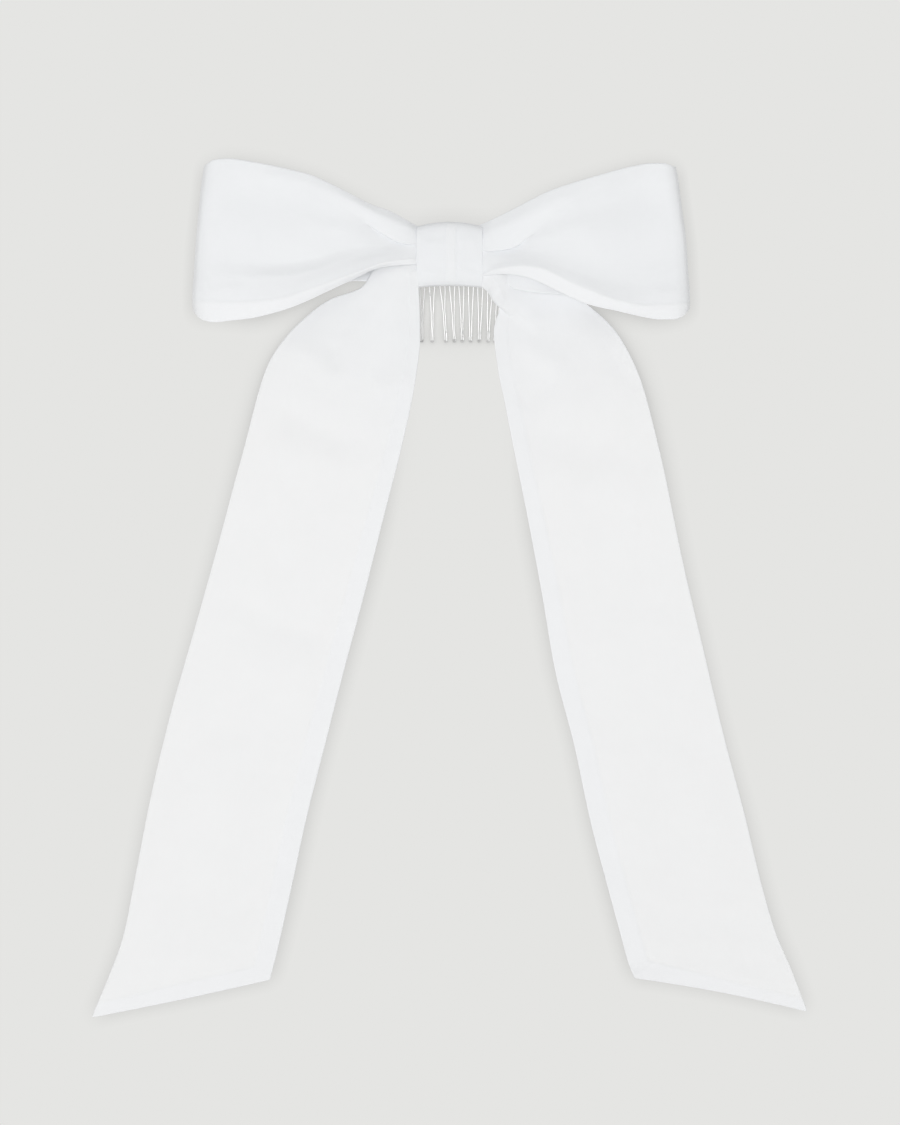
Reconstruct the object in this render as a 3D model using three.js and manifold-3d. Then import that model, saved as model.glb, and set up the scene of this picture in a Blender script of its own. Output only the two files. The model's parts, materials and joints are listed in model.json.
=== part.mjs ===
// Hair bow on a wire comb, in millimetres, as it is worn: the front faces -Y, the head is at +Y and the tails hang
// down -Z. The origin is on the axis of the comb's spine, at the knot's centre line.
// Two sewn fabric tubes, one for the loops and one for the tails, are gathered at the middle, wound with thread and
// wrapped in a knot band. A wire comb is sewn to the back of the band with thread loops that act as its hinge.
import * as THREE from "three";
import { mergeVertices } from "three/addons/utils/BufferGeometryUtils.js";
import Module from "manifold-3d";

const wasm = await Module();
wasm.setup();

// ---- Driving dimensions -------------------------------------------------------------------------------------------

const CLOTH = 1.2; // thickness of a flattened tube of two plies
const KNOT = { width: 28.6, height: 28.8, front: -17.5, back: -2.5, wall: 1.4, corner: 4.5 };
const FLAP = { bottom: 4.5, top: 11.5, thickness: 0.8 }; // where the band's outer end laps over its inner end
const CORE = { width: 22, halfHeight: 11.5, waistHalfHeight: 9.8, waistWidth: 7, corner: 2 };
const LOOP_CORE = { front: -15.7, waistFront: -14.85, back: -9.4 };
const TAIL_CORE = { front: -9.0, waistBack: -5.75, back: -4.85 };
const WINDING = { turns: 3, pitch: 1.4, radius: 0.3, clearance: 0.3 };
const COMB = { teeth: 12, pitch: 4.4, centre: 3.1, length: 38.7, spine: 0.6, wire: 0.325, curve: 3 };
const TOOTH = { top: 1.1, bottom: 0.47, meets: 28, coilPitch: 0.75, coilTurns: 0.95, coilGap: 0.1 };
const STITCH = { radius: 0.25, loop: 2.1, inside: -4.35, clearance: 0.3, first: 3, count: 6 };
const BEND_GAP = 1.3; // between the two halves of a tail, so that one can turn against the other

// How far each tooth's tip leans sideways from its top: hand-bent wire is never quite even.
const TOOTH_LEAN = [0.4, -0.2, -0.3, 0, 1.9, 1.3, 0.5, -0.2, -0.7, -1.0, -2.4, -1.2];

// A loop's outline: [share of the way from the knot to the outer fold, height]. Its reach is at the fold's two ends.
const LOOP_ROOT = 15;
const LOOPS = {
  left: {
    side: -1,
    reach: { top: 110.5, bottom: 115.4 },
    top: [[0, 11.8], [0.025, 12.5], [0.08, 16], [0.23, 22.9], [0.46, 34], [0.71, 41], [0.88, 43.3], [1, 41.2]],
    bottom: [[0, -4.5], [0.16, -5.4], [0.29, -11.1], [0.44, -18.5], [0.59, -24.9], [0.74, -28.8], [0.93, -30.6], [1, -28]],
  },
  right: {
    side: 1,
    reach: { top: 101.7, bottom: 108.2 },
    top: [[0, 11.8], [0.025, 12.5], [0.08, 16], [0.21, 22.5], [0.35, 29], [0.62, 36.3], [0.89, 41.5], [1, 40.5]],
    bottom: [[0, -9], [0.08, -6.5], [0.26, -11.7], [0.38, -17], [0.5, -22], [0.7, -26], [0.9, -29.2], [1, -26.5]],
  },
};
// The loop seen from above: [share of its reach, depth], out along the front, round the fold and back.
const LOOP_PROFILE = [
  [0, -13.6], [0.05, -15.4], [0.15, -19.3], [0.35, -24.6], [0.57, -26.6], [0.8, -23.2], [0.94, -17],
  [1, -13.4], [0.97, -10.9], [0.88, -10.1], [0.6, -10], [0.3, -10], [0.05, -10], [0, -10],
];

// A tail's edges from the knot down: pairs of [x outwards, depth, height] on its inner and outer edge.
// The two halves meet at pair TAIL_SPLIT, and the last pair is the slanting end.
const TAIL_SPLIT = 6;
const TAILS = {
  left: {
    side: -1,
    inner: [
      [14.9, -6.8, -12.2], [15.5, -6.3, -17], [14.1, -5.9, -30], [13.7, -6.2, -40], [15.6, -7.2, -55], [19, -7.4, -74],
      [26, -7, -102], [38, -8, -150], [50.6, -6.4, -198], [67.3, -8.2, -265.5], [75.6, -6.6, -303], [80.8, -7, -325],
    ],
    outer: [
      [14.9, -7.2, -4.4], [30, -7.6, -7], [47, -7.9, -17.4], [66, -7.6, -28.6], [79, -6.8, -44], [86.3, -6.6, -62],
      [93.6, -7, -88], [106.2, -6, -136], [119, -8.2, -184], [135.6, -6.2, -251], [147.3, -8.6, -305.5], [160.9, -7, -343.4],
    ],
  },
  right: {
    side: 1,
    inner: [
      [14.9, -6.8, -12.4], [17.6, -6.1, -18], [21.2, -5.8, -26], [20.8, -6.2, -38], [22.8, -7.1, -52], [26.2, -7.4, -70],
      [31.6, -7, -98], [40.4, -6.2, -146], [50, -8, -195], [66.2, -6.4, -263], [76.8, -8, -305], [82.6, -7, -324.4],
    ],
    outer: [
      [14.9, -7.2, -7], [32, -7.7, -8.6], [49.6, -7.9, -15.6], [66.4, -7.6, -24.4], [77, -6.7, -38], [85, -6.5, -56],
      [94.8, -7, -89], [105.4, -8, -139], [117, -6.2, -188], [133.4, -8.2, -255], [146.6, -6, -305], [160.9, -7, -339.8],
    ],
  },
};

// ---- Helpers ------------------------------------------------------------------------------------------------------

// A closed slab of the given thickness about the surface point(s, v), for s and v from 0 to 1.
function sheetGeometry(point, stations, across, thickness) {
  const STEP = 1e-3;
  const position = [];
  const index = [];
  const normal = new THREE.Vector3();
  for (const face of [1, -1]) {
    for (let i = 0; i <= stations; i++) {
      for (let j = 0; j <= across; j++) {
        const s = i / stations;
        const v = j / across;
        const along = point(Math.min(s + STEP, 1), v).sub(point(Math.max(s - STEP, 0), v));
        const over = point(s, Math.min(v + STEP, 1)).sub(point(s, Math.max(v - STEP, 0)));
        normal.crossVectors(along, over).normalize();
        position.push(...point(s, v).addScaledVector(normal, (face * thickness) / 2).toArray());
      }
    }
  }
  const row = across + 1;
  const back = (stations + 1) * row;
  const quad = (a, b, c, d) => index.push(a, b, c, a, c, d);
  for (let i = 0; i < stations; i++) {
    for (let j = 0; j < across; j++) {
      const a = i * row + j;
      quad(a, a + row, a + row + 1, a + 1);
      quad(back + a, back + a + 1, back + a + row + 1, back + a + row);
    }
  }
  for (let i = 0; i < stations; i++) {
    const a = i * row;
    quad(a, back + a, back + a + row, a + row);
    const b = a + across;
    quad(b, b + row, back + b + row, back + b);
  }
  for (let j = 0; j < across; j++) {
    quad(j, j + 1, back + j + 1, back + j);
    const b = stations * row + j;
    quad(b, back + b, back + b + 1, b + 1);
  }
  return new THREE.BufferGeometry()
    .setAttribute("position", new THREE.Float32BufferAttribute(position, 3))
    .setIndex(index);
}

// A closed solid through convex rings of equally many points.
function loftGeometry(rings) {
  const count = rings[0].length;
  const index = [];
  for (let i = 0; i + 1 < rings.length; i++) {
    for (let j = 0; j < count; j++) {
      const a = i * count + j;
      const b = i * count + ((j + 1) % count);
      index.push(a, b, b + count, a, b + count, a + count);
    }
  }
  const last = (rings.length - 1) * count;
  for (let j = 1; j + 1 < count; j++) {
    index.push(0, j + 1, j, last, last + j, last + j + 1);
  }
  return new THREE.BufferGeometry()
    .setAttribute("position", new THREE.Float32BufferAttribute(rings.flat().flatMap((p) => p.toArray()), 3))
    .setIndex(index);
}

// Points of a rounded rectangle in the plane at x, from y front to y back and z down to up.
function roundedRing(x, front, back, halfHeight, corner, perCorner) {
  const points = [];
  const centres = [
    [back - corner, halfHeight - corner],
    [front + corner, halfHeight - corner],
    [front + corner, corner - halfHeight],
    [back - corner, corner - halfHeight],
  ];
  centres.forEach(([y, z], quarter) => {
    for (let k = 0; k < perCorner; k++) {
      const angle = (quarter + k / (perCorner - 1)) * (Math.PI / 2);
      points.push(new THREE.Vector3(x, y + corner * Math.cos(angle), z + corner * Math.sin(angle)));
    }
  });
  return points;
}

// A path whose steps are shared out by point and not by length, so that tight turns get enough of them.
class WirePath extends THREE.CatmullRomCurve3 {
  getUtoTmapping(u) {
    return u;
  }
}

// A round wire or thread along points.
function wireGeometry(points, radius, sides, stepsPerSpan) {
  const section = new THREE.Shape();
  for (let k = 0; k < sides; k++) {
    const angle = (k / sides) * 2 * Math.PI;
    section[k ? "lineTo" : "moveTo"](radius * Math.cos(angle), radius * Math.sin(angle));
  }
  const steps = Math.round((points.length - 1) * stepsPerSpan);
  return new THREE.ExtrudeGeometry(section, { steps, extrudePath: new WirePath(points), bevelEnabled: false });
}

// A smooth value through [share, value] pairs.
function along(pairs) {
  const curve = new THREE.CatmullRomCurve3(pairs.map(([share, value]) => new THREE.Vector3(share, value, 0)));
  const samples = curve.getPoints(200);
  return (share) => {
    const after = Math.max(1, samples.findIndex((p) => p.x >= share - 1e-9));
    const a = samples[after - 1];
    const b = samples[after];
    return THREE.MathUtils.mapLinear(share, a.x, b.x, a.y, b.y);
  };
}

function solidOf(geometry) {
  const bare = geometry.clone().deleteAttribute("normal").deleteAttribute("uv");
  const merged = mergeVertices(bare, 1e-4);
  return new wasm.Manifold(
    new wasm.Mesh({
      numProp: 3,
      vertProperties: merged.attributes.position.array,
      triVerts: new Uint32Array(merged.index.array),
    }),
  );
}

function geometryOf(solid) {
  const mesh = solid.getMesh();
  return new THREE.BufferGeometry()
    .setAttribute("position", new THREE.Float32BufferAttribute(mesh.vertProperties, 3))
    .setIndex(new THREE.BufferAttribute(mesh.triVerts, 1));
}

// ---- Materials ----------------------------------------------------------------------------------------------------

const cloth = new THREE.MeshStandardMaterial({ color: 0xeef0f1, roughness: 0.62, metalness: 0, side: THREE.DoubleSide });
const thread = new THREE.MeshStandardMaterial({ color: 0xf2f3f3, roughness: 0.55, metalness: 0 });
const wire = new THREE.MeshStandardMaterial({ color: 0xd2d3d4, roughness: 0.22, metalness: 1 });

const bow = new THREE.Group();

function addPiece(name, geometry, material) {
  geometry.computeVertexNormals();
  const mesh = new THREE.Mesh(geometry, material);
  mesh.name = name;
  bow.add(mesh);
  return mesh;
}

// ---- Comb ---------------------------------------------------------------------------------------------------------

const toothX = (i) => COMB.centre + COMB.pitch * (i - (COMB.teeth - 1) / 2);

function makeSpine() {
  const OVERHANG = 2.4; // past the outer teeth's centres, just beyond their coils
  const length = COMB.pitch * (COMB.teeth - 1) + 2 * OVERHANG;
  const geometry = new THREE.CylinderGeometry(COMB.spine, COMB.spine, length, 8);
  geometry.rotateZ(Math.PI / 2).translate(COMB.centre, 0, 0);
  addPiece("comb_spine", geometry, wire);
}

// One tooth is a hairpin: each end is coiled round the spine, and its legs close up towards the tip.
function makeTooth(i) {
  const COIL_POINTS = 9;
  const radius = COMB.spine + COMB.wire + TOOTH.coilGap;
  const depth = (z) => radius + COMB.curve * (z / COMB.length) ** 2;
  const lean = (z) => TOOTH_LEAN[i] * (-z / COMB.length) ** 1.5;
  const leg = [];
  for (let k = 0; k < COIL_POINTS; k++) {
    const turned = TOOTH.coilTurns * (1 - k / (COIL_POINTS - 1));
    const angle = turned * 2 * Math.PI;
    leg.push([TOOTH.top + TOOTH.coilPitch * turned, radius * Math.cos(angle), radius * Math.sin(angle)]);
  }
  const tipTurn = -COMB.length + TOOTH.bottom + COMB.wire;
  for (const z of [-3, -14, -TOOTH.meets, (tipTurn - TOOTH.meets) / 2, tipTurn]) {
    const closing = Math.min(-z / TOOTH.meets, 1);
    leg.push([THREE.MathUtils.lerp(TOOTH.top, TOOTH.bottom, closing), depth(z), z]);
  }
  const tip = [0.75, 0.5].map((share) => {
    const angle = (share - 0.5) * Math.PI;
    return [TOOTH.bottom * Math.sin(angle), depth(-COMB.length), tipTurn - TOOTH.bottom * Math.cos(angle)];
  });
  const mirrored = [...leg, tip[0]].reverse().map(([x, y, z]) => [-x, y, z]);
  const points = [...leg, tip[0], tip[1], ...mirrored].map(
    ([x, y, z]) => new THREE.Vector3(toothX(i) + x + lean(Math.min(z, 0)), y, z),
  );
  addPiece(`comb_tooth_${String(i + 1).padStart(2, "0")}`, wireGeometry(points, COMB.wire, 6, 1), wire);
}

// ---- Knot ---------------------------------------------------------------------------------------------------------

const stitchX = (k) => toothX(STITCH.first - 1 + k) + COMB.pitch / 2;

// The thread loops that hold the comb go round its spine and through the band's back wall.
function makeStitch(k) {
  const ARC_POINTS = 7;
  const upper = [
    [STITCH.inside, 0.35],
    [STITCH.inside, 1.3],
    [STITCH.inside + 0.18, 1.85],
    [STITCH.inside + 0.7, STITCH.loop],
    [-1.2, STITCH.loop],
  ];
  const arc = Array.from({ length: ARC_POINTS }, (_, n) => {
    const angle = (0.5 - n / (ARC_POINTS - 1)) * Math.PI;
    return [STITCH.loop * Math.cos(angle), STITCH.loop * Math.sin(angle)];
  });
  const lower = upper.map(([y, z]) => [y, -z]).reverse();
  const points = [...upper, ...arc, ...lower].map(([y, z]) => new THREE.Vector3(stitchX(k), y, z));
  addPiece(`comb_stitch_${k + 1}`, wireGeometry(points, STITCH.radius, 5, 1), thread);
}

// A rounded rectangle's four corner arcs, run counter-clockwise.
function addCorners(path, front, back, halfHeight, corner) {
  const top = halfHeight - corner;
  const centres = [[back - corner, top], [front + corner, top], [front + corner, -top], [back - corner, -top]];
  centres.forEach(([y, z], quarter) => {
    const start = (quarter * Math.PI) / 2;
    path.absarc(y, z, corner, start, start + Math.PI / 2, false);
  });
}

// The band is a flattened sleeve, open at its left and right sides, where the fabric comes out.
function makeBand() {
  const half = KNOT.height / 2;
  const outline = new THREE.Shape();
  addCorners(outline, KNOT.front, KNOT.back, half, KNOT.corner);
  const hole = new THREE.Path();
  addCorners(hole, KNOT.front + KNOT.wall, KNOT.back - KNOT.wall, half - KNOT.wall, KNOT.corner - KNOT.wall);
  outline.holes.push(hole);
  const sleeve = new THREE.ExtrudeGeometry(outline, { depth: KNOT.width, bevelEnabled: false, curveSegments: 3 });
  sleeve.translate(0, 0, -KNOT.width / 2);
  sleeve.applyMatrix4(
    new THREE.Matrix4().makeBasis(
      new THREE.Vector3(0, 1, 0),
      new THREE.Vector3(0, 0, 1),
      new THREE.Vector3(1, 0, 0),
    ),
  );
  const SUNK = 0.4; // how far the flap reaches into the band, so that the two are one piece
  const flap = new THREE.BoxGeometry(KNOT.width, FLAP.thickness + SUNK, FLAP.top - FLAP.bottom);
  flap.translate(0, KNOT.back + (FLAP.thickness - SUNK) / 2, (FLAP.top + FLAP.bottom) / 2);
  let solid = solidOf(sleeve).add(solidOf(flap));
  const radius = STITCH.radius + STITCH.clearance;
  for (let k = 0; k < STITCH.count; k++) {
    for (const z of [STITCH.loop, -STITCH.loop]) {
      const needle = new THREE.CylinderGeometry(radius, radius, 2 * KNOT.wall, 6);
      needle.translate(stitchX(k), KNOT.back - KNOT.wall / 2, z);
      solid = solid.subtract(solidOf(needle));
    }
  }
  addPiece("knot_band", geometryOf(solid), cloth);
}

// The gathered middle of a fabric tube, narrowed where the thread is wound round it.
function makeCore(name, { front, back, waistFront = front, waistBack = back }) {
  const half = CORE.width / 2;
  const waist = CORE.waistWidth / 2;
  const full = (x) => roundedRing(x, front, back, CORE.halfHeight, CORE.corner, 3);
  const narrow = (x) => roundedRing(x, waistFront, waistBack, CORE.waistHalfHeight, CORE.corner / 2, 3);
  const rings = [full(-half), full(-waist - 2), narrow(-waist), narrow(waist), full(waist + 2), full(half)];
  addPiece(name, loftGeometry(rings), cloth);
}

function makeWinding() {
  const gap = WINDING.radius + WINDING.clearance;
  const ring = roundedRing(
    0,
    LOOP_CORE.waistFront - gap,
    TAIL_CORE.waistBack + gap,
    CORE.waistHalfHeight + gap,
    CORE.corner,
    3,
  );
  const points = [];
  for (let n = 0; n < WINDING.turns * ring.length; n++) {
    const turned = n / ring.length - WINDING.turns / 2;
    points.push(ring[n % ring.length].clone().setX(turned * WINDING.pitch));
  }
  addPiece("gathering_thread", wireGeometry(points, WINDING.radius, 6, 1), thread);
}

// ---- Loops --------------------------------------------------------------------------------------------------------

function makeLoop(name, { side, reach, top, bottom }) {
  const profile = new THREE.CatmullRomCurve3(LOOP_PROFILE.map(([share, y]) => new THREE.Vector3(share, y, 0)));
  const topAt = along(top);
  const bottomAt = along(bottom);
  const point = (s, v) => {
    const at = profile.getPoint(s);
    const share = THREE.MathUtils.clamp(at.x, 0, 1);
    const fold = THREE.MathUtils.lerp(reach.bottom, reach.top, v);
    const x = side * THREE.MathUtils.lerp(LOOP_ROOT, fold, at.x);
    return new THREE.Vector3(x, at.y, THREE.MathUtils.lerp(bottomAt(share), topAt(share), v));
  };
  const facing = side < 0 ? point : (s, v) => point(s, 1 - v);
  addPiece(name, sheetGeometry(facing, 2 * (LOOP_PROFILE.length - 1), 6, CLOTH), cloth);
}

// ---- Tails --------------------------------------------------------------------------------------------------------

// Each tail is one piece of fabric. It is two nodes, so that it can bend across its middle.
function makeTail(name, { side, inner, outer }) {
  const edge = (points) =>
    new THREE.CatmullRomCurve3(points.map(([x, y, z]) => new THREE.Vector3(side * x, y, z)));
  const innerEdge = edge(inner);
  const outerEdge = edge(outer);
  const spans = inner.length - 1;
  const split = TAIL_SPLIT / spans;
  const STEP = 0.01;
  const pace = innerEdge.getPoint(split + STEP).distanceTo(innerEdge.getPoint(split)) / STEP;
  const half = BEND_GAP / 2 / pace;
  const addHalf = (part, from, to, stations) => {
    const point = (s, v) => {
      const t = THREE.MathUtils.lerp(from, to, s);
      return innerEdge.getPoint(t).lerp(outerEdge.getPoint(t), side < 0 ? v : 1 - v);
    };
    addPiece(`${name}_${part}`, sheetGeometry(point, stations, 4, CLOTH), cloth);
  };
  addHalf("upper", 0, split - half, 2 * TAIL_SPLIT);
  addHalf("lower", split + half, 1, 2 * (spans - TAIL_SPLIT));
}

// ---- Assembly -----------------------------------------------------------------------------------------------------

makeSpine();
for (let i = 0; i < COMB.teeth; i++) makeTooth(i);
makeBand();
makeCore("loop_centre", LOOP_CORE);
makeCore("tail_centre", TAIL_CORE);
makeWinding();
for (let k = 0; k < STITCH.count; k++) makeStitch(k);
makeLoop("loop_left", LOOPS.left);
makeLoop("loop_right", LOOPS.right);
makeTail("tail_left", TAILS.left);
makeTail("tail_right", TAILS.right);

export default bow;
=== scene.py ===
"""A white ribbon hair bow on a wire comb, as it is worn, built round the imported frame.

Lengths in the shape functions are in millimetres; meshes are made in metres. In each side's own
coordinates x runs outwards from the knot, so one set of functions makes the left and the right.
"""
import json
import math

import bpy
import numpy as np
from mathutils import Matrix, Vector


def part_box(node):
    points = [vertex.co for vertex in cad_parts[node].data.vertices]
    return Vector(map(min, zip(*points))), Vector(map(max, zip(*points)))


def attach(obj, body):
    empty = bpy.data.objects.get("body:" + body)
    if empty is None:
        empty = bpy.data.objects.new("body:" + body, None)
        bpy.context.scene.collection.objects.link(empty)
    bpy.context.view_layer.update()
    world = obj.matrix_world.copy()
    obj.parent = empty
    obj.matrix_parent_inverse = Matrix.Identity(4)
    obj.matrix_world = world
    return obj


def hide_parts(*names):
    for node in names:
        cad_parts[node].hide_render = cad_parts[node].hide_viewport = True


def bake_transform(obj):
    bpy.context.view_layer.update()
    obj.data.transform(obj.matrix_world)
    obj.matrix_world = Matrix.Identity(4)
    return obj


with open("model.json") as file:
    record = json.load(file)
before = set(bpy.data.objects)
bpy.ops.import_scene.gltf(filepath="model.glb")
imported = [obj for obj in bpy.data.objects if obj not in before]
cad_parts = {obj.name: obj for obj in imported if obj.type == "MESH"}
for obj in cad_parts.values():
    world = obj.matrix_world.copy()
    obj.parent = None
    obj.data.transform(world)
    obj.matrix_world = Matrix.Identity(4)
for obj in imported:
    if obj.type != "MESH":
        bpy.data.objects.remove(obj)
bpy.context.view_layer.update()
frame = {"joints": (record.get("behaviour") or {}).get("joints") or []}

MM = 0.001
SIDES = {"left": -1, "right": 1}

# ---- Camera ----

VIEW_HEIGHT = 0.506  # metres of the bow's plane that the picture's height takes in
VIEW_X, VIEW_CENTRE = 0.0002, -0.1384  # the place in the frame of the picture's middle
BOW_PLANE = -0.008
CAMERA_DISTANCE = 1.5
SENSOR = 36.0

camera_data = bpy.data.cameras.new("camera")
camera = bpy.data.objects.new("camera", camera_data)
bpy.context.scene.collection.objects.link(camera)
camera.location = (VIEW_X, BOW_PLANE - CAMERA_DISTANCE, VIEW_CENTRE)
camera.rotation_euler = (math.pi / 2, 0, 0)
camera_data.sensor_width = SENSOR
camera_data.lens = SENSOR * CAMERA_DISTANCE / VIEW_HEIGHT
bpy.context.scene.camera = camera

# ---- Curves and shaping functions ----


def through(points):
    """A smooth function through (place, value) points that doesn't overshoot them."""
    x, y = np.array(list(points), float).T
    step = np.diff(x)
    slope = np.diff(y) / step
    same_way = slope[1:] * slope[:-1] > 0
    total = np.where(same_way, slope[1:] + slope[:-1], 1.0)
    inner = np.where(same_way, 2 * slope[1:] * slope[:-1] / total, 0.0)
    tangent = np.concatenate([slope[:1], inner, slope[-1:]])

    def value(t):
        t = np.clip(t, x[0], x[-1])
        i = np.clip(np.searchsorted(x, t, side="right") - 1, 0, len(step) - 1)
        u = (t - x[i]) / step[i]
        return (
            y[i] * (1 + 2 * u) * (1 - u) ** 2
            + tangent[i] * step[i] * u * (1 - u) ** 2
            + y[i + 1] * u**2 * (3 - 2 * u)
            + tangent[i + 1] * step[i] * u**2 * (u - 1)
        )

    return value


def ease(low, high, value):
    t = np.clip((value - low) / (high - low), 0, 1)
    return t * t * (3 - 2 * t)


def lerp(a, b, t):
    return a + (b - a) * t


def rounded_square(angle, squareness):
    """(cosine, sine) of an angle, bulged out from a circle (2) towards a square as squareness grows."""
    c, s = np.cos(angle), np.sin(angle)
    power = 2 / squareness
    return np.sign(c) * np.abs(c) ** power, np.sign(s) * np.abs(s) ** power


def run_along(points):
    """How far along a line of points each of them lies."""
    return np.concatenate([[0], np.cumsum(np.linalg.norm(np.diff(points, axis=0), axis=1))])


def smooth_path(points, per_span):
    """A Catmull-Rom curve through the points, as a finer list of points."""
    p = np.array(points, float)
    p = np.concatenate([[2 * p[0] - p[1]], p, [2 * p[-1] - p[-2]]])
    t = np.linspace(0, 1, per_span, endpoint=False)[:, None]
    spans = []
    for a, b, c, d in zip(p[:-3], p[1:-2], p[2:-1], p[3:]):
        square, cube = 2 * a - 5 * b + 4 * c - d, 3 * b - a - 3 * c + d
        spans.append(0.5 * (2 * b + (c - a) * t + square * t**2 + cube * t**3))
    return np.concatenate([*spans, p[-2:-1]])


def near_line(x, z, points):
    """(distance, share of the way) of each place from a line of points: right of its run is positive."""
    points = smooth_path(points, 5)
    before = run_along(points)
    lengths = np.diff(before)
    best = np.full(np.shape(x), np.inf)
    signed, share = np.zeros(np.shape(x)), np.zeros(np.shape(x))
    for k, length in enumerate(lengths):
        (ax, az), (bx, bz) = points[k], points[k + 1]
        ux, uz = (bx - ax) / length, (bz - az) / length
        along = np.clip((x - ax) * ux + (z - az) * uz, 0, length)
        dx, dz = x - ax - along * ux, z - az - along * uz
        away = np.hypot(dx, dz)
        closer = away < best
        best = np.where(closer, away, best)
        signed = np.where(closer, np.copysign(away, dx * uz - dz * ux), signed)
        share = np.where(closer, (before[k] + along) / before[-1], share)
    return signed, share


def ridges(x, z, listed):
    """Soft folds, each (points, half width, height towards the front). Both ends fade out."""
    total = np.zeros(np.shape(x))
    for points, width, height in listed:
        away, share = near_line(x, z, points)
        total -= height * np.exp(-((away / width) ** 2)) * ease(0, 0.3, share) * ease(1, 0.7, share)
    return total


def overlap(x, z, points, lift, width, reach):
    """Shifts (x, y, z) that fold the cloth right of a line over the cloth left of it, as a soft S."""
    away, share = near_line(x, z, points)
    (ax, az), (bx, bz) = points[0], points[-1]
    length = math.hypot(bx - ax, bz - az)
    side_x, side_z = (bz - az) / length, -(bx - ax) / length
    OVERHANG = 1.35
    fade = ease(0, 0.8, share) * ease(1, 0.8, share)
    hang = OVERHANG * ease(0.4, 0.8, share) * ease(1, 0.85, share)
    slide = -hang * away * np.exp(-((away / width) ** 2))
    raised = ease(-width / 2, width / 2, away) * np.exp(-((np.maximum(away, 0) / reach) ** 2))
    return slide * side_x, -lift * raised * fade, slide * side_z


# ---- Mesh helpers ----

RIM_STEPS = 4
CAP_RINGS = ((0.8, 0.6), (0.35, 0.94))  # a domed end's rings: size and place, as shares of the radius


def new_object(name, vertices, faces, material):
    mesh = bpy.data.meshes.new(name)
    mesh.from_pydata([tuple(v) for v in np.asarray(vertices) * MM], [], faces)
    mesh.validate()
    mesh.shade_smooth()
    mesh.materials.append(material)
    made = bpy.data.objects.new(name, mesh)
    bpy.context.scene.collection.objects.link(made)
    return made


def add_attribute(made, name, values):
    """Stores a number or a vector for each of the mesh's vertices."""
    kind, key = ("FLOAT", "value") if np.ndim(values) == 1 else ("FLOAT_VECTOR", "vector")
    attribute = made.data.attributes.new(name, kind, "POINT")
    attribute.data.foreach_set(key, np.asarray(values, np.float32).ravel())


def unit(v):
    return v / np.maximum(np.linalg.norm(v, axis=-1, keepdims=True), 1e-9)


def grid_normals(grid):
    return unit(np.cross(np.gradient(grid, axis=0), np.gradient(grid, axis=1)))


def slab(name, grid, normals, thickness, material, cloth, seam, flat_rows=()):
    """A closed thin solid about a grid of points, with rounded rims, or cut flat at row 0 or -1.

    cloth holds each point's place on the flat fabric, and seam is 1 where the seam allowance lies.
    """
    n, m = grid.shape[:2]
    number = np.arange(n * m).reshape(n, m)
    half = thickness / 2
    border = np.concatenate([number[:-1, 0], number[-1, :-1], number[:0:-1, -1], number[0, :0:-1]])
    points, ups = grid.reshape(-1, 3), normals.reshape(-1, 3)
    step = np.roll(points[border], -1, 0) - points[border]
    outward = unit(np.cross(unit(step), ups[border]))
    outward = unit(outward + np.roll(outward, 1, 0))
    for row in flat_rows:
        outward[np.isin(border, number[row])] = 0
        for end, inner in ((0, 1), (-1, -2)):
            outward[border == number[row, end]] = unit(grid[row, end] - grid[row, inner])
    leans = [ups, -ups]
    for k in range(1, RIM_STEPS):
        turn = math.pi * k / RIM_STEPS
        leans.append(ups[border] * math.cos(turn) + outward * math.sin(turn))
    parts = [points + leans[0] * half, points + leans[1] * half]
    parts += [points[border] + lean * half for lean in leans[2:]]
    sources = np.concatenate([number.ravel(), number.ravel(), np.tile(border, RIM_STEPS - 1)])
    a, b, c, d = number[:-1, :-1], number[1:, :-1], number[1:, 1:], number[:-1, 1:]
    front = np.stack([a, b, c, d], -1).reshape(-1, 4)
    faces = [front, front[:, ::-1] + n * m]
    base = 2 * n * m + np.arange(RIM_STEPS - 1)[:, None] * len(border) + np.arange(len(border))
    rings = np.concatenate([border[None], base, border[None] + n * m])
    following = np.roll(rings, -1, 1)
    for k in range(RIM_STEPS):
        faces.append(np.stack([rings[k], rings[k + 1], following[k + 1], following[k]], -1))
    all_faces = np.concatenate(faces)
    made = new_object(name, np.concatenate(parts), all_faces.tolist(), material)
    if len(flat_rows):
        cut = np.isin(sources, np.concatenate([number[row] for row in flat_rows]))
        rim = np.arange(len(all_faces)) >= 2 * len(front)
        smooth = ~(rim & cut[all_faces].all(1))
        made.data.polygons.foreach_set("use_smooth", smooth)
        vertex_normals = np.concatenate(leans)[all_faces]
        face_normals = np.empty(len(all_faces) * 3, np.float32)
        made.data.polygons.foreach_get("normal", face_normals)
        corners = np.where(smooth[:, None, None], vertex_normals, face_normals.reshape(-1, 1, 3))
        made.data.normals_split_custom_set(corners.reshape(-1, 3).tolist())
    add_attribute(made, "cloth", np.pad(cloth.reshape(-1, 2)[sources], ((0, 0), (0, 1))))
    add_attribute(made, "seam", seam.ravel()[sources])
    return made


def carried(path):
    """Tangents along a path, and two directions across it that don't twist round it."""
    START = (0.31, 0.87, 0.39)  # a direction that no path starts along
    tangents = unit(np.gradient(path, axis=0))
    up = unit(np.cross(tangents[0], START))
    ups = []
    for tangent in tangents:
        up = unit(up - tangent * (up @ tangent))
        ups.append(up)
    return tangents, np.array(ups), np.cross(tangents, ups)


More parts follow.
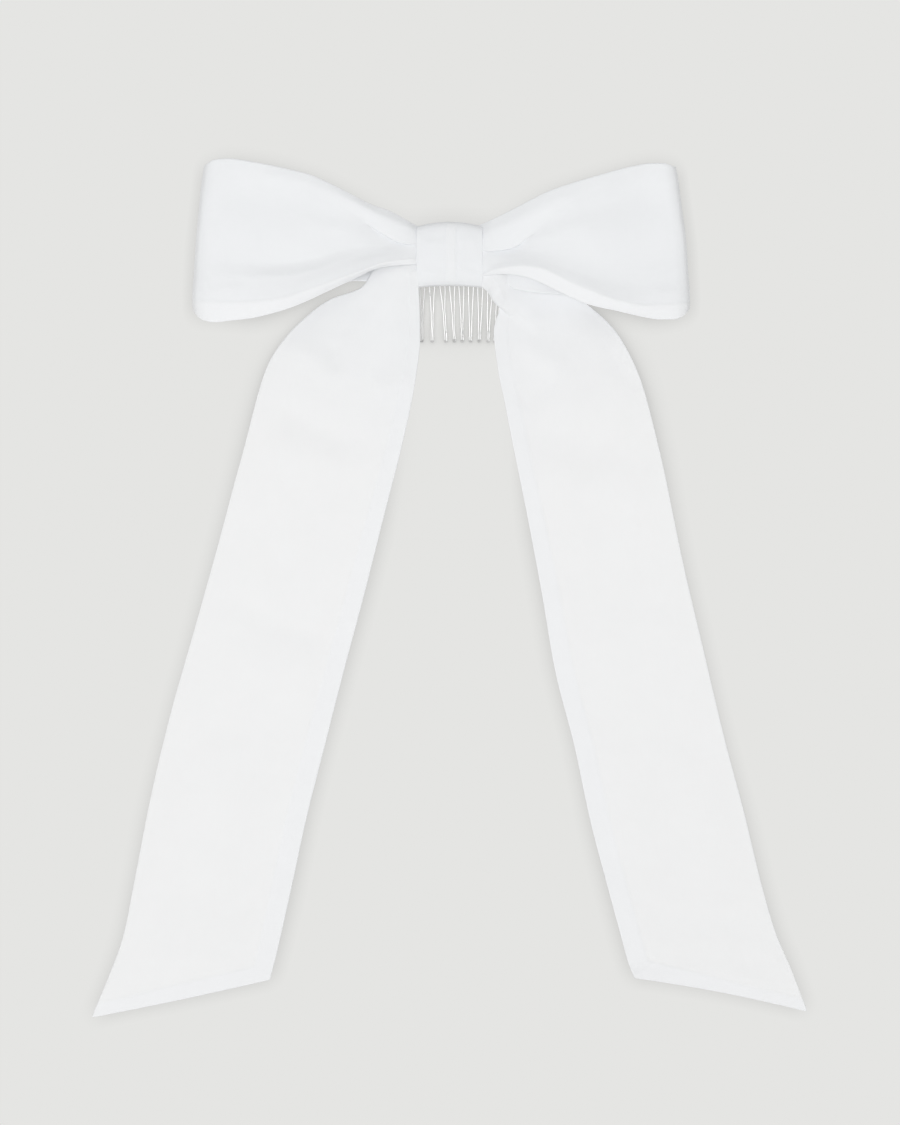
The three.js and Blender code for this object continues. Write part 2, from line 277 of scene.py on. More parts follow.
def tube(name, path, radius, material, sides=12):
    """A round wire or thread along a fine path, with domed ends."""
    tangents, ups, across = carried(path)
    angles = np.arange(sides) / sides * 2 * math.pi
    rings = []
    for point, up, side in zip(path, ups, across):
        rings.append(point + radius * (np.outer(np.cos(angles), up) + np.outer(np.sin(angles), side)))
    for at, way in ((0, -1), (-1, 1)):
        centre, ring, outwards = path[at], rings[at], tangents[at] * way * radius
        caps = [centre + (ring - centre) * size + outwards * out for size, out in CAP_RINGS]
        rings = [*caps[::-1], *rings] if at == 0 else [*rings, *caps]
    count = len(rings)
    index = np.arange(count * sides).reshape(count, sides)
    following = np.roll(index, -1, 1)
    faces = np.stack([index[:-1], following[:-1], following[1:], index[1:]], -1).reshape(-1, 4).tolist()
    faces += [index[0][::-1].tolist(), index[-1].tolist()]
    return new_object(name, np.concatenate(rings), faces, material)


# ---- Materials ----

WEAVE_MM = 0.34


class Nodes:
    """A small helper that adds and joins a material's nodes."""

    def __init__(self, name):
        self.material = bpy.data.materials.new(name)
        self.material.use_nodes = True
        self.tree = self.material.node_tree
        self.shader = self.tree.nodes["Principled BSDF"]

    def put(self, node, inputs):
        """Links or sets each of a node's inputs."""
        for socket, value in inputs.items():
            if isinstance(value, bpy.types.NodeSocket):
                self.tree.links.new(value, node.inputs[socket])
            else:
                node.inputs[socket].default_value = value

    def surface(self, inputs):
        self.put(self.shader, inputs)

    def add(self, kind, inputs=None, **settings):
        node = self.tree.nodes.new(kind)
        for key, value in settings.items():
            setattr(node, key, value)
        self.put(node, inputs or {})
        return node

    def math(self, operation, a, b=0.0, c=0.0):
        return self.add("ShaderNodeMath", {0: a, 1: b, 2: c}, operation=operation).outputs[0]

    def noise(self, place, scale, detail, **more):
        inputs = {"Vector": place, "Scale": scale, "Detail": detail, **more}
        return self.add("ShaderNodeTexNoise", inputs).outputs["Fac"]

    def stretched(self, place, scale):
        return self.add("ShaderNodeMapping", {"Vector": place, "Scale": scale}).outputs[0]

    def ramp(self, value, low, high, at_low, at_high):
        """Goes smoothly from at_low to at_high as value goes from low to high."""
        inputs = {"Value": value, "From Min": low, "From Max": high, "To Min": at_low, "To Max": at_high}
        return self.add("ShaderNodeMapRange", inputs, interpolation_type="SMOOTHSTEP").outputs["Result"]

    def mix(self, factor, a, b):
        return self.add("ShaderNodeMix", {0: factor, 6: a, 7: b}, data_type="RGBA").outputs[2]

    def bump(self, height, strength, distance, normal=None):
        inputs = {"Height": height, "Strength": strength, "Distance": distance}
        if normal is not None:
            inputs["Normal"] = normal
        return self.add("ShaderNodeBump", inputs).outputs["Normal"]


def grey(level):
    return (level, level, level, 1)


def fabric_material(name, colour, seam_colour, root_shade_colour=None):
    """Matte satin: fine woven threads, faint slubs, soft mottling and the brighter seam allowance.

    With a root shade colour, the ribbon gets painted shade: tinted with it near the knot, a little darker at
    its cut end.
    """
    n = Nodes(name)
    cloth = n.add("ShaderNodeAttribute", attribute_name="cloth").outputs["Vector"]
    seam = n.add("ShaderNodeAttribute", attribute_name="seam").outputs["Fac"]
    place = n.add("ShaderNodeSeparateXYZ", {0: cloth})
    across, along = place.outputs[0], place.outputs[1]
    body = n.mix(seam, (*colour, 1), (*seam_colour, 1))
    mottled = n.math("MULTIPLY_ADD", n.noise(cloth, 0.055, 3.0, Roughness=0.55), 0.030, 0.985)
    slubs = n.noise(n.stretched(cloth, (4.0, 0.12, 1.0)), 1.0, 2.0)
    tone = n.math("MULTIPLY", mottled, n.math("MULTIPLY_ADD", slubs, 0.020, 0.990))
    if root_shade_colour:
        # Painted shade: bluish and darker near the knot where the loops hang over, and slightly darker
        # towards the cut end.
        body = n.mix(n.ramp(along, 20, 110, 1.0, 0.0), body, (*root_shade_colour, 1))
        tone = n.math("MULTIPLY", tone, n.ramp(along, 120, 330, 1.0, 0.98))
    tinted = n.add("ShaderNodeVectorMath", {0: body, 1: tone}, operation="MULTIPLY").outputs[0]
    turns = 2 * math.pi / WEAVE_MM
    warp = n.math("SINE", n.math("MULTIPLY", across, turns))
    weft = n.math("SINE", n.math("MULTIPLY", along, turns * 0.8))
    fuzz = n.noise(cloth, 2.2, 4.0, Roughness=0.7)
    threads = n.math("MULTIPLY_ADD", n.math("MULTIPLY", warp, weft), 0.5, fuzz)
    crumple = n.bump(n.noise(cloth, 0.05, 2.0, Distortion=0.5), 0.22, 0.0018)
    n.surface({
        "Base Color": tinted,
        "Normal": n.bump(threads, 0.5, 0.00006, crumple),
        "Roughness": n.math("MULTIPLY_ADD", fuzz, 0.12, 0.56),
        "Specular IOR Level": 0.28,
        "Sheen Weight": 0.12,
        "Sheen Roughness": 0.5,
    })
    return n.material


def thread_material(name):
    """Spun thread: fine diagonal strands."""
    n = Nodes(name)
    place = n.add("ShaderNodeTexCoord").outputs["Object"]
    wave = {"Vector": place, "Scale": 900.0, "Distortion": 1.5}
    strands = n.add("ShaderNodeTexWave", wave, bands_direction="DIAGONAL").outputs["Fac"]
    height = n.math("MULTIPLY_ADD", n.noise(place, 3000.0, 3.0), 0.4, strands)
    n.surface({
        "Base Color": n.mix(strands, grey(0.74), grey(0.84)),
        "Normal": n.bump(height, 0.5, 0.00005),
        "Roughness": 0.6,
        "Sheen Weight": 0.2,
    })
    return n.material


def wire_material(name):
    """Silver-plated wire: drawn-wire streaks, small dull patches, a polished surface and darker tips."""
    TIPS_BELOW = -0.0352
    n = Nodes(name)
    place = n.add("ShaderNodeTexCoord").outputs["Object"]
    patches = n.noise(place, 260.0, 4.0, Roughness=0.6)
    plated = n.mix(n.math("GREATER_THAN", patches, 0.36), grey(0.65), grey(0.88))
    height = n.add("ShaderNodeSeparateXYZ", {0: place}).outputs[2]
    tip = n.math("LESS_THAN", n.math("MULTIPLY_ADD", patches, 0.005, height), TIPS_BELOW)
    streaks = n.noise(n.stretched(place, (4000.0, 4000.0, 220.0)), 1.0, 2.0)
    n.surface({
        "Base Color": n.mix(tip, plated, grey(0.56)),
        "Normal": n.bump(streaks, 0.25, 0.00002),
        "Roughness": n.math("MULTIPLY_ADD", patches, 0.22, 0.30),
        "Metallic": 0.8,
    })
    return n.material


# One satin in three tones: the loops darker and bluer, and the knot darker still, than the tails, as painted
# shade.
LOOP_FABRIC = fabric_material("loop_satin", (0.906, 0.919, 0.944), (0.924, 0.934, 0.957))
TAIL_FABRIC = fabric_material(
    "tail_satin", (0.921, 0.925, 0.938), (0.918, 0.926, 0.948), root_shade_colour=(0.912, 0.922, 0.943)
)
KNOT_FABRIC = fabric_material("knot_satin", (0.890, 0.903, 0.929), (0.898, 0.910, 0.932))
THREAD = thread_material("sewing_thread")
WIRE = wire_material("silver_wire")

# ---- Loops ----

PLY = 1.0  # thickness of the flattened two-ply tube
RIBBON = 72.0  # width of the flat ribbon
SEAM_RAISE = 0.2  # how far the seam allowance stands out
ROOT = 12.0  # where the loops' ends lie inside the knot band

# The loop seen from above: (share of its reach, depth), out along the front, round the fold and back.
LOOP_PROFILE = [
    (0, -15.5), (0.022, -16), (0.04, -17), (0.1, -18.2), (0.2, -20.4), (0.38, -24.4), (0.58, -26),
    (0.8, -24.6), (0.955, -22.2), (0.99, -19.4), (1, -15), (0.985, -11.6), (0.9, -10.2), (0.6, -10),
    (0.3, -10.1), (0.05, -10.3), (0, -10.3),
]
FOLD_AT = 10  # the profile's point on the outer fold
BACK_WAVE = 0.25  # height of the back panel's low waves

# The front panel's lines: each one's place across the ribbon, and its height and its set-back by distance
# from the knot's middle.
LOOP_LINES = {}
LOOP_LINES["left"] = [
    (0, [(12, -3.6), (22.3, -4.2), (31.3, -5.4), (43.8, -10.8), (56, -16.5), (63, -19.8), (72, -23.5),
      (81, -26.2), (90, -28.2), (99, -29.2), (105.5, -29.9), (110, -29.2), (113, -27.4), (115, -24.6)],
     [(12, 0.2), (16, 0.4), (24, 1.2), (30, 1.8), (60, 2.2), (100, 1.2), (115, 0)]),
    (0.12, [(12, -1.4), (28.3, -3.2), (39.5, -6.9), (61, -14.9), (78.2, -20), (95.4, -21.4), (115, -21)],
     [(12, 0.3), (30, 0), (60, 0.2), (100, 0.2), (115, 0)]),
    (0.2, [(12, 0.4), (28, -0.8), (39.5, -4), (61, -11.4), (78, -15.8), (95, -16.8), (115, -16)],
     [(12, 0.3), (16, 0.4), (22, 0.5), (30, 0.5), (60, 0.6), (85, 0.5), (100, 0.1), (115, 0)]),
    (0.34, [(12, 1.9), (24.1, 2.2), (35.3, 0.6), (48.1, -2.8), (61, -7.4), (78.2, -10.4), (95.4, -10.6),
      (115, -10)],
     [(12, 0.2), (16, 0.5), (22, 1.1), (30, 1.4), (40, 1.5), (61, 1.4), (80, 1.2), (95, 0.8), (108, 0)]),
    (0.44, [(12, 2.9), (24, 3.8), (35, 4), (48, 2.2), (61, -1.4), (78, -3), (95, -2.6), (115, -2)],
     [(12, 0.2), (16, 0.6), (22, 1.5), (30, 1.9), (40, 2.3), (61, 3.6), (80, 4), (95, 2.4), (110, 0.1)]),
    (0.55, [(12, 3.6), (24, 5.2), (35, 7.6), (48, 8.6), (61, 10.2), (78, 11.6), (95, 11.6), (115, 11)],
     [(12, 0.2), (16, 0.7), (22, 1.8), (30, 2.1), (40, 2.4), (61, 3.6), (80, 3.9), (95, 2.4),
      (113, 0.1)]),
    (0.74, [(12, 4.6), (21.4, 6.2), (31.7, 10.6), (36.9, 13), (50, 19.4), (66, 25.5), (86, 28),
      (112, 26)],
     [(12, 0.4), (16, 1), (22, 2.1), (30, 2.1), (37, 2), (50, 2.8), (66, 3.6), (86, 3.6), (112, 0.3)]),
    (0.8, [(12, 4.2), (21.4, 5.6), (31.7, 10.8), (36.9, 14.6), (50, 22), (66, 28.4), (86, 31.2),
      (112, 30)],
     [(12, 0.3), (16, 0.1), (22, -0.1), (30, 0.6), (37, 1.6), (50, 2.7), (66, 3.6), (86, 3.5),
      (112, 0.3)]),
    (0.9, [(12, 8.8), (21, 12.4), (31.7, 17), (45, 24.2), (66, 33), (86, 36.8), (111, 35)],
     [(12, 2), (15.5, 1), (20, -0.4), (26, -0.7), (34, 0.3), (45, 1.8), (66, 3.4), (86, 3.3),
      (111, 0.3)]),
    (1, [(12, 11.6), (14.9, 12.6), (20, 15.4), (26.8, 19.1), (35.8, 22.4), (44.8, 27), (53.8, 31.6),
      (63, 35.7), (72, 38), (81, 40), (90, 41.6), (99, 42.9), (105.5, 42.4), (110, 39.6)],
     [(12, 4.6), (15, 3.4), (20, 1), (40, 2.3), (66, 3.6), (92, 2.9), (111, 0.3)]),
]
LOOP_LINES["right"] = [
    (0, [(12, -9.8), (20, -8.5), (24.5, -8.2), (32, -9), (40, -11.6), (47, -15), (55, -18.7),
      (60.4, -21.2), (67.7, -23.2), (74.5, -24.6), (81.2, -26.2), (88, -27.7), (94.7, -28.6),
      (101, -28.5), (104.6, -27.3), (107.4, -24.6)],
     [(12, 2), (14.6, 1.6), (18, 1), (30, 1.2), (60, 2), (95, 1.2), (108, 0)]),
    (0.12, [(12, -9.3), (15.4, -8.6), (20, -6.8), (24.8, -5.6), (32, -5), (39.5, -5.6), (47.2, -8.4),
      (53.7, -11.8), (64, -16.2), (76.1, -20.4), (88.2, -22.7), (108, -21.8)],
     [(12, 1.6), (14.6, 1.2), (18, 0.2), (24, -0.4), (40, -0.3), (60, 0.2), (95, 0.2), (108, 0)]),
    (0.2, [(12, -5.5), (20, -4.6), (26, -3.4), (32, -3.2), (39.5, -4.4), (47, -7), (54, -10), (64, -13.8),
      (76, -17.2), (88, -19), (108, -17.6)],
     [(12, 0.4), (18, 0.5), (26, 0.2), (40, 0.1), (50, 0.3), (60, 0.6), (72, 0.8), (85, 0.6), (96, 0.2),
      (108, 0)]),
    (0.34, [(12, -1.6), (23.9, -1.2), (32, -0.8), (41.5, -2), (52, -5.2), (64, -9), (78, -11.6),
      (95, -11.6), (108, -9.6)],
     [(12, 0.2), (16, 0.5), (22, 0.8), (30, 1), (40, 1), (50, 1.4), (60, 2), (72, 2.2), (85, 2),
      (95, 1.4), (106, 0)]),
    (0.44, [(12, -0.2), (24, 0.6), (32, 1.3), (41, 1.6), (52, 0.4), (64, -1.4), (78, -2.4), (95, -2.4),
      (108, -1)],
     [(12, 0.2), (16, 0.6), (22, 1.3), (30, 1.7), (40, 1.9), (50, 2.3), (60, 3), (72, 3.4), (85, 3.3),
      (95, 2.4), (106, 0.1)]),
    (0.55, [(12, 0.9), (23, 2), (30, 3), (36, 4.2), (48, 6.7), (64, 9.4), (86, 11.2), (108, 10.4)],
     [(12, 0.2), (16, 0.7), (22, 1.7), (30, 2.2), (40, 2.2), (50, 2.6), (60, 3.2), (72, 3.6), (85, 3.5),
      (95, 2.5), (106, 0.1)]),
    (0.74, [(12, 2), (20, 2.7), (28.7, 4.3), (35.9, 7.8), (48, 15), (66, 23), (86, 26), (106, 24.6)],
     [(12, 0.4), (16, 1), (22, 2.1), (30, 2.3), (36, 2), (46, 2.6), (64, 3.7), (86, 3.7), (105, 0.3)]),
    (0.8, [(12, 1.4), (20, 2), (28.7, 3.6), (35.9, 8.6), (48, 17.8), (66, 26.4), (86, 29.6), (104, 28.6)],
     [(12, 0.3), (16, 0.1), (22, -0.3), (29, 0.1), (35, 1.5), (46, 2.5), (64, 3.8), (86, 3.7),
      (105, 0.3)]),
    (0.9, [(12, 8.2), (20, 10), (34, 15.8), (46, 22.4), (57, 27), (70, 31), (86, 35.6), (103, 34.4)],
     [(12, 2), (15.5, 1), (20, -0.4), (26, -0.7), (34, 0.3), (45, 1.8), (66, 3.8), (86, 3.6),
      (103, 0.3)]),
    (1, [(12, 12.4), (14.8, 13.4), (22.7, 17.1), (29.5, 20.5), (36.2, 24), (45.2, 28.4), (54.2, 31.6),
      (63.2, 34.3), (72.2, 36.8), (81.2, 39.2), (90.2, 40.7), (96, 40.8), (101, 39.2)],
     [(12, 4.6), (15, 3.4), (20, 1), (40, 2.3), (66, 4), (88, 3.2), (102, 0.3)]),
]
LOOP_REACH = {
    "left": [(0, 114.9), (0.12, 115.2), (0.4, 114.4), (0.6, 112.8), (1, 110.0)],
    "right": [(0, 107.4), (0.12, 107.7), (0.45, 106.4), (0.65, 104.4), (1, 101.4)],
}
# The back panel's lower and upper edges. The right one's lower edge shows under the front panel.
LOOP_BACK = {
    "left": (
        [(12, -3.4), (22, -5.4), (30, -10.8), (37, -11.5), (43, -11.3), (50, -13.2), (59, -17),
         (74, -23.2), (90, -27.2), (115, -24.4)],
        [(12, 10.8), (24, 15.6), (34, 19.6), (47, 26.6), (66, 35), (86, 40), (100, 41.8), (111, 38)],
    ),
    "right": (
        [(12, -9.6), (22, -9.9), (29.3, -15), (40, -16.6), (49.2, -17.3), (55, -18.7), (62, -21.2),
         (79, -25), (91, -27.6), (108, -24.4)],
        [(12, 11.8), (21, 14.2), (34, 21), (46, 27.4), (58, 31.2), (70, 34.8), (83, 38.4), (94, 40),
         (102, 37.4)],
    ),
}
# How far the back panel's lower edge bellies forward, by distance from the knot's middle.
LENS_LIFT = {
    "left": [(16, 0), (26, -1.5), (50, -1.5), (66, 0)],
    "right": [(16, 0), (24, 5), (30, 6.6), (40, 8.5), (50, 8.5), (66, 0)],
}
LOOP_FOLDS = {
    "left": [
        ([(30, 16), (60, 30), (90, 38)], 5, 0.5),
        ([(45, 2), (75, 4), (108, 2)], 12, 0.7),
        ([(60, 22), (85, 26), (108, 30)], 8, -0.5),
        ([(70, -2), (95, -6), (112, -10)], 6, 0.4),
        ([(100, 36), (108, 10), (110, -10)], 4, -0.35),
        ([(25, 5), (45, 10), (70, 16)], 4, 0.5),
    ],
    "right": [
        ([(28, 15), (58, 28), (86, 36)], 5, 0.5),
        ([(45, 5), (72, 6), (100, 3)], 12, 0.7),
        ([(55, 20), (80, 24), (100, 30)], 8, -0.5),
        ([(66, -3), (90, -7), (104, -9)], 6, 0.4),
        ([(94, 34), (101, 10), (103, -8)], 4, -0.35),
        ([(30, 4), (48, 10), (66, 16)], 4, 0.5),
    ],
}


def along_sight(grid):
    """Moves points placed as seen in the bow's plane to their own depth along their lines of sight."""
    nearer = 1 + (grid[..., 1] * MM - BOW_PLANE) / CAMERA_DISTANCE
    centre = VIEW_CENTRE / MM
    return np.stack([grid[..., 0] * nearer, grid[..., 1], centre + (grid[..., 2] - centre) * nearer], -1)


def loop_grid(side, stations=170):
    """The loop's middle surface in its own coordinates, and each point's place on the ribbon."""
    shares, depths = (through(enumerate(values)) for values in zip(*LOOP_PROFILE))
    mark = np.linspace(0, len(LOOP_PROFILE) - 1, stations)[:, None]
    # The rows are closer where the crease runs.
    v = np.concatenate(
        [np.linspace(0, 0.7, 61)[:-1], np.linspace(0.7, 0.84, 30)[:-1], np.linspace(0.84, 1, 18)]
    )[None, :]
    share, base = shares(mark), depths(mark)
    reach = through(LOOP_REACH[side])
    x = ROOT + (reach(v) - ROOT) * share
    lines = LOOP_LINES[side]
    places = np.array([line[0] for line in lines])
    rails = (ROOT + (reach(places) - ROOT) * share).T
    heights = np.array([through(line[1])(rail) for line, rail in zip(lines, rails)])
    setbacks = np.array([through(line[2])(rail) for line, rail in zip(lines, rails)])
    front_z, offset = (
        np.stack([through(zip(places, values))(v[0]) for values in table.T]) for table in (heights, setbacks)
    )
    low, high = (through(edge)(x) for edge in LOOP_BACK[side])
    on_back = ease(FOLD_AT, FOLD_AT + 2.2, mark)
    z = lerp(front_z, lerp(low, high, v), on_back)
    y = base + offset * (1 - ease(FOLD_AT - 0.6, FOLD_AT + 0.6, mark))
    y = y + ridges(x, z, LOOP_FOLDS[side]) * (1 - on_back)
    y = y + on_back * BACK_WAVE * np.sin(x / 9 + v * 5) * ease(20, 40, x)
    lens = through(LENS_LIFT[side])(x) * ease(0.75, 0.35, v) * lerp(0.8, 1, ease(0, 0.3, v))
    y = y - lens * on_back
    grid = along_sight(np.stack([x, y, z], -1))
    run = run_along(np.stack([x[:, 0], base[:, 0]], -1))
    cloth = np.stack(np.broadcast_arrays(v * RIBBON, run[:, None]), -1)
    seam = ease(0.126, 0.115, v) * (1 - on_back) * np.ones_like(x)
    grid[..., 1] -= SEAM_RAISE * seam
    return grid, cloth, seam


def flipped(*grids):
    """The grids with their columns in the opposite order, which turns their normals over."""
    return [grid[:, ::-1] for grid in grids]


def make_loop(side):
    grid, cloth, seam = loop_grid(side)
    grid[..., 0] *= SIDES[side]
    if side == "left":
        grid, cloth, seam = flipped(grid, cloth, seam)
    made = slab(f"{side}_loop_ribbon", grid, grid_normals(grid), PLY, LOOP_FABRIC, cloth, seam)
    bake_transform(made)
    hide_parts(f"loop_{side}")


# ---- Tails ----

# Pairs of (x, z) on a tail's inner and outer edge, from inside the knot band to the slanting end.
TAIL_EDGES = {}
TAIL_EDGES["left"] = [
    ((11.5, -12.4), (11.5, -3)), ((14.4, -14.6), (22, -2.6)), ((13.9, -24), (31.3, -5.2)),
    ((13.7, -38.2), (39.7, -15.4)), ((15.1, -51.8), (53.2, -20.3)), ((16.9, -63), (66.1, -29.8)),
    ((21.8, -85.5), (80.6, -48)), ((30.4, -119.2), (93.2, -91)), ((38.9, -153), (104.5, -133)),
    ((47.9, -186.8), (114.8, -170)), ((56.5, -220.5), (125, -206)), ((65, -254.2), (134.3, -245)),
    ((71, -282), (141.5, -282)), ((75.3, -301.5), (146.6, -307)), ((78.6, -315.8), (153.7, -326.5)),
    ((81.2, -325.8), (160.4, -342.6)),
]
TAIL_EDGES["right"] = [
    ((11.5, -12.4), (11.5, -6)), ((15.4, -15), (24, -8)), ((21.6, -23), (34, -10)),
    ((20.3, -34), (49, -13.6)), ((22.3, -51.8), (62.8, -23.6)), ((25, -65), (73.6, -33.6)),
    ((29, -85.5), (84.4, -53)), ((35.8, -119.2), (94.2, -88.5)), ((42.1, -153), (104.8, -139)),
    ((47.9, -186.8), (114.4, -180)), ((56.5, -220.5), (123.4, -218)), ((63.7, -254.2), (132.2, -251)),
    ((70.7, -281), (140.2, -284)), ((76.8, -303.5), (146.4, -305)), ((80.9, -318.4), (153.2, -321)),
    ((83.6, -325), (160.4, -339.9)),
]
TAIL_DEPTH = [(0, -7), (1, -6.9), (2, -6.8), (4, -7), (6, -7), (8, -6.7), (10, -7.3), (12, -6.6), (15, -7.2)]
TAIL_WIDTH = 70.0
SEAM_WIDTH = (6.2, 8.6)  # of the allowance along the inner edge, at the top and at the cut end
END_SEAM = {"left": (7.2, 5.2), "right": (8.8, 4.6)}  # along the cut end, at its inner and outer corner
TAIL_CUT = 6.2  # the station where a tail's two meshes meet, above the bend

TAIL_FOLDS = {}
TAIL_FOLDS["left"] = [
    ([(74, -36), (62, -46), (48, -60)], 6, 1.6),
    ([(31, -7), (40, -17), (47, -26), (52, -36)], 5, 0.8),
    ([(43, -20), (47, -29), (48, -38)], 6, -0.6),
    ([(50, -38), (53, -45), (50, -54)], 6, -0.5),
    ([(18, -36), (28, -45), (40, -54)], 5, -0.6),
    ([(15, -54), (24, -58), (36, -60)], 5, 0.8),
    ([(22, -12), (25, -26), (22, -42)], 5, 0.5),
    ([(33, -10), (36, -24), (38, -40)], 6, 0.5),
    ([(82, -66), (58, -80), (34, -88)], 6, -1.2),
    ([(88, -82), (62, -92), (38, -97)], 8, 0.9),
    ([(93, -120), (84, -128)], 3, -0.6),
    ([(84, -135), (64, -142)], 6, -0.7),
    ([(102, -154), (74, -168), (48, -173)], 6.5, -1.1),
    ([(102, -174), (78, -184), (54, -188)], 9, 0.8),
    ([(122, -198), (92, -214), (58, -220)], 10, -0.7),
    ([(132, -240), (100, -247), (66, -244)], 10, 0.7),
    ([(146, -298), (112, -291), (78, -298)], 8, -0.7),
    ([(154, -330), (120, -317), (90, -320)], 5, 0.5),
]
TAIL_FOLDS["right"] = [
    ([(28, -36), (40, -45), (54, -51)], 6, 1.2),
    ([(16, -8), (24, -18), (34, -26), (46, -36)], 5, 1.2),
    ([(50, -54), (40, -61), (28, -68)], 5, -0.9),
    ([(40, -22), (58, -31), (76, -48)], 8, 1.1),
    ([(68, -40), (78, -52), (88, -64)], 5, -0.8),
    ([(28, -74), (52, -84), (88, -88)], 9, -1.1),
    ([(32, -98), (60, -104), (96, -102)], 9, 0.9),
    ([(38, -140), (66, -142), (102, -134)], 10, -0.6),
    ([(44, -170), (74, -176), (110, -166)], 10, 0.7),
    ([(54, -214), (86, -217), (120, -202)], 10, -0.7),
    ([(64, -256), (96, -254), (130, -242)], 10, 0.6),
    ([(80, -306), (112, -300), (144, -300)], 7, -0.6),
    ([(88, -324), (120, -322), (152, -330)], 4, 0.5),
    ([(82, -324), (87, -319.5), (93, -315)], 1.4, -0.8),
]
BILLOW = 8.8  # how far the cloth swells forward as it leaves the knot
BILLOW_AT = {"left": (18.5, -7.5), "right": (21, -9.5)}
BILLOW_SIZE = {"left": (21, 13), "right": (15, 9.5)}
TAIL_RELIEF = 0.6
END_BOW = {"left": -0.4, "right": 1.1}  # the cut ends aren't quite straight
# The fold edge on the right, where a gather lies over the rest of the tail.
LAP_EDGE = [(43, -41), (39, -35.4), (34.5, -31.6), (29.6, -28.1), (25, -25.2), (21, -21.5), (16, -15)]
LAP_LIFT, LAP_WIDTH, LAP_REACH = 1.6, 5.0, 13


def tail_grid(side, columns=88):
    """The tail's middle surface with its rows closer at the gathers, and the row where it is cut in two."""
    edges = np.array(TAIL_EDGES[side], float)
    last = len(edges) - 1
    stations = np.concatenate([np.arange(0, TAIL_CUT, 0.055), np.arange(TAIL_CUT, last, 0.062), [last]])
    cut = int(np.searchsorted(stations, TAIL_CUT))
    t = stations[:, None]
    v = np.linspace(0, 1, columns)[None, :]
    inner_x, inner_z, outer_x, outer_z = (through(enumerate(places))(t) for places in edges.reshape(-1, 4).T)
    x, z = lerp(inner_x, outer_x, v), lerp(inner_z, outer_z, v)
    z = z + END_BOW[side] * np.sin(math.pi * v) * ease(last - 1.5, last, t)
    PLEATS, PLEAT_DEPTH = 5, 1.3
    gather = 1 - ease(0.05, 0.35, t)
    y = through(TAIL_DEPTH)(t) + PLEAT_DEPTH * gather * np.cos(v * PLEATS * 2 * math.pi)
    (at_x, at_z), (wide, high) = BILLOW_AT[side], BILLOW_SIZE[side]
    from_billow = ((x - at_x) / wide) ** 2 + ((z - at_z) / high) ** 2
    y = y - BILLOW * ease(11, 14.2, x) * np.exp(-from_billow)
    y = y + ease(0.7, 1.6, t) * TAIL_RELIEF * ridges(x, z, TAIL_FOLDS[side])
    if side == "right":
        shift_x, shift_y, shift_z = overlap(x, z, LAP_EDGE, LAP_LIFT, LAP_WIDTH, LAP_REACH)
        x, y, z = x + shift_x, y + shift_y, z + shift_z
    from_side = v * np.hypot(outer_x - inner_x, outer_z - inner_z) - lerp(*SEAM_WIDTH, ease(4, 12, t))
    (x0, z0), (x1, z1) = edges[last]
    to_end = np.abs((x - x0) * (z1 - z0) - (z - z0) * (x1 - x0)) / math.hypot(x1 - x0, z1 - z0)
    from_end = to_end - lerp(*END_SEAM[side], v)
    seam = np.maximum(ease(0.5, -0.5, from_side), ease(0.5, -0.5, from_end))
    y = y - SEAM_RAISE * seam
    run = run_along(np.concatenate([inner_x + outer_x, inner_z + outer_z], 1) / 2)
    cloth = np.stack(np.broadcast_arrays(v * TAIL_WIDTH, run[:, None]), -1)
    return np.stack([x, y, z], -1), cloth, seam, cut


def make_tail(side):
    grid, cloth, seam, cut = tail_grid(side)
    grid[..., 0] *= SIDES[side]
    if side == "right":
        grid, cloth, seam = flipped(grid, cloth, seam)
    normals = grid_normals(grid)
    joint = next(j for j in frame["joints"] if j["name"] == f"{side}_tail_bend")
    axis, pivot = Vector(joint["axis"]).normalized(), Vector(joint["pos_m"])
    down = axis.cross(Vector((0, 1, 0))).normalized()
    if down.z > 0:
        down = -down
    top, end = (
        slab(
            f"{side}_tail_ribbon_{part}", grid[rows], normals[rows], PLY, TAIL_FABRIC,
            cloth[rows], seam[rows], flat_rows=[cut_row],
        )
        for part, rows, cut_row in (("top", slice(cut + 1), -1), ("end", slice(cut, None), 0))
    )
    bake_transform(top)
    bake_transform(end)
    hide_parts(f"tail_{side}_upper")
    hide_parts(f"tail_{side}_lower")


# ---- Knot ----

KNOT_HALF_WIDTH = 14.4
KNOT_MIDDLE_Y = -10.0
KNOT_DEPTH = 7.0  # from its middle to the cloth's middle surface, front and back
KNOT_TOP, KNOT_TOP_DROP = 13.9, 2.1  # its top rises in the middle
KNOT_BOTTOM, KNOT_BOTTOM_DROP = 13.5, 0.9  # its bottom is slightly arched
KNOT_SQUARENESS = 5.0
BAND_START, BAND_LAP = 0.40, 0.62  # angles of the strip's beginning and of its overlap
LAP_TALLER, LAP_BEHIND = 0.02, 0.85  # how far the overlap stands off what is under it
KNOT_FOLDS = [
    ([(-14, 2), (-6, 4.6), (2, 3)], 2.4, 0.22),
    ([(3, 4), (9, 5.6), (14, 3.0)], 2.2, 0.22),
    ([(-13, -3), (-5, -6.2), (1, -5)], 2.2, -0.22),
    ([(2, -5.5), (8, -8.6), (14, -10)], 1.6, 0.35),
    ([(-14, -7.5), (-8, -8.8), (-1, -8)], 1.8, 0.25),
    ([(-13, 9), (-6, 7), (0, 9)], 2.4, -0.2),
]
KNOT_SEAM = (-1.2, 2.6)  # the band's own seam allowance, down the middle of the front
KNOT_SEAM_RAISE = 0.28
BAND_PLY, BAND_RUN = 0.9, 95  # its thickness, and its length along the middle surface


